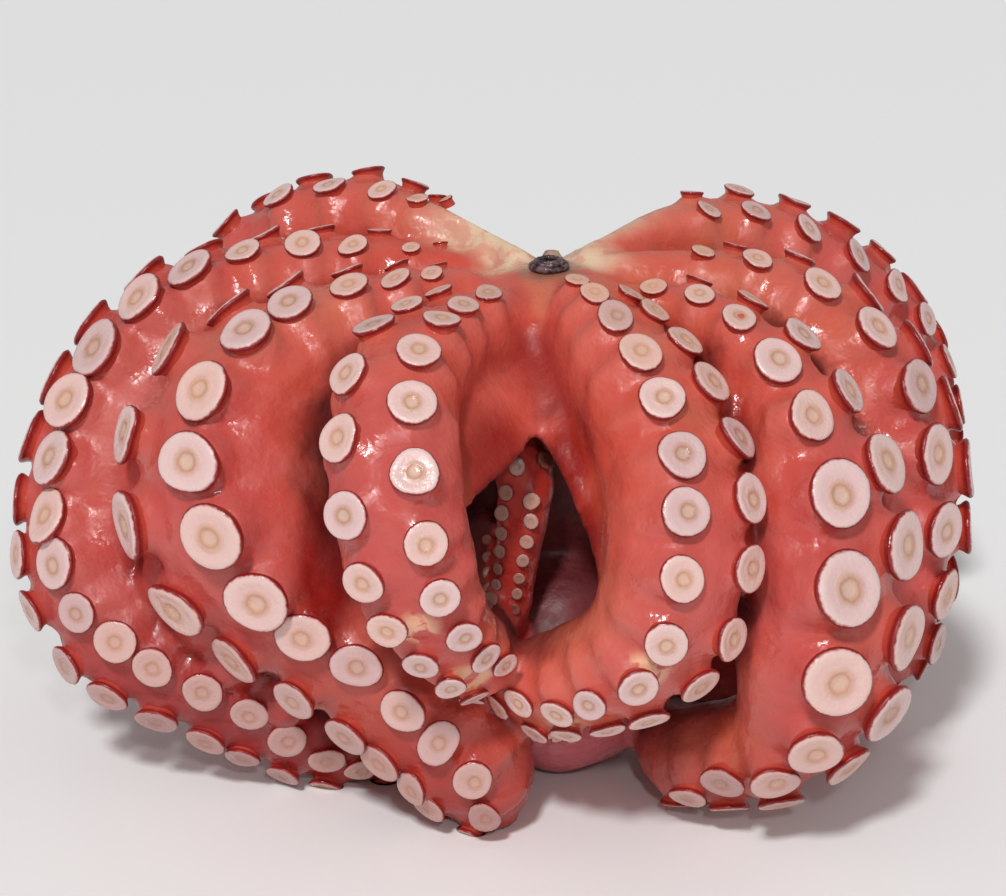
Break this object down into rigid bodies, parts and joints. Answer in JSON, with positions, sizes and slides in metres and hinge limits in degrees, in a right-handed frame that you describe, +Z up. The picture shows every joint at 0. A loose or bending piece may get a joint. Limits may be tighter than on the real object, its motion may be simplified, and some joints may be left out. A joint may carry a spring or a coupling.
{
  "type": "whole boiled octopus",
  "caption": "Whole boiled octopus resting on its mantle with the mouth up, its thick webbed arms arched over and curled to the floor with the suckers outwards.",
  "frame": {"origin": "middle of the floor under the bounding box", "axes": "+Z up through the mouth, -Y towards the picture's camera, +X to its right"},
  "size_m": [0.2892, 0.229, 0.1627],
  "materials": {
    "octopus": "wet, glossy",
    "beak": "glossy"
  },
  "bodies": {
    "root": {"octopus": "octopus", "beak": "beak"}
  },
  "joints": []
}
